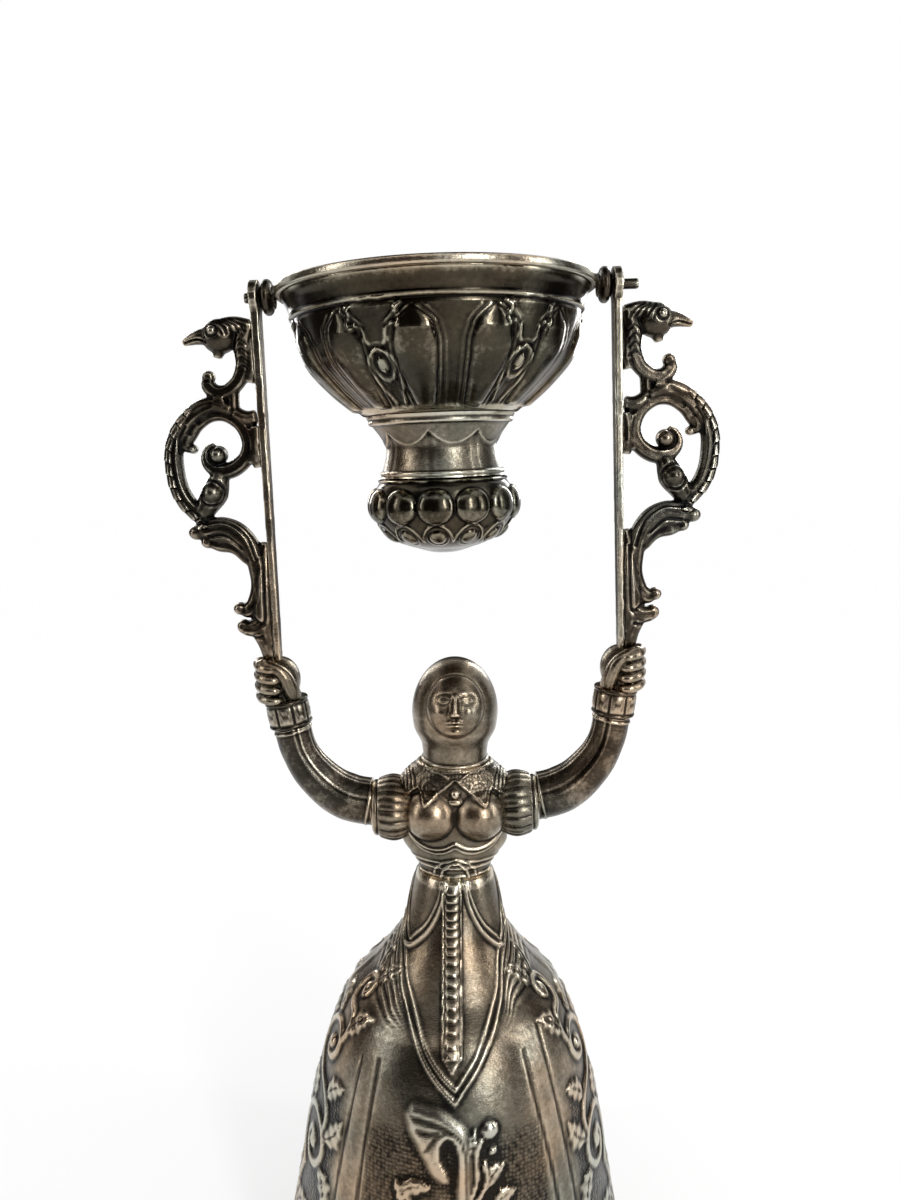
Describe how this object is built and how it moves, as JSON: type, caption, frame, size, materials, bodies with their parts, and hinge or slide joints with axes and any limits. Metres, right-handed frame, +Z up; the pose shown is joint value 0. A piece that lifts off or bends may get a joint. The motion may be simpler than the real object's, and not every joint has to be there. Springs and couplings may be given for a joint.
{
  "type": "wager cup",
  "caption": "Silver figure in a bell skirt, the skirt a large drinking cup, holding openwork bird-head brackets between which a small lobed cup swings on pivot pins.",
  "frame": {"origin": "centre of the foot ring, on the surface that the cup stands on", "axes": "+Z up; the figure faces -Y; the brackets stand along X, with +X on the right as the picture shows it"},
  "size_m": [0.1183, 0.088, 0.2397],
  "materials": {
    "polished_silver": "polished silver with fine scratches and warm reflections",
    "worn_silver": "chased silver, worn bright on high points, grey-brown tarnish between",
    "oxidised_silver": "cast and chased silver with dark oxidised recesses"
  },
  "bodies": {
    "figure": {"bodice": "worn_silver", "foot_ring": "polished_silver", "hooded_head": "worn_silver", "left_bracket_scroll": "oxidised_silver", "left_bracket_strap": "polished_silver", "left_cuff": "worn_silver", "left_hand": "worn_silver", "left_sleeve": "worn_silver", "left_sleeve_puff": "worn_silver", "right_bracket_scroll": "oxidised_silver", "right_bracket_strap": "polished_silver", "right_cuff": "worn_silver", "right_hand": "worn_silver", "right_sleeve": "worn_silver", "right_sleeve_puff": "worn_silver", "skirt_cup": "worn_silver"},
    "small_cup": {"cup_bowl": "oxidised_silver", "cup_rim_band": "polished_silver", "cup_neck": "polished_silver", "cup_knop": "oxidised_silver", "left_pivot_bead": "oxidised_silver", "right_pivot_bead": "oxidised_silver", "left_pivot_pin": "oxidised_silver", "right_pivot_pin": "oxidised_silver"}
  },
  "joints": [
    {"name": "cup_swing", "type": "hinge", "parent": "figure", "child": "small_cup", "pos_m": [-0.00405, 0, 0.23473], "axis": [0.9993, 0, 0.0366], "continuous": true}
  ]
}
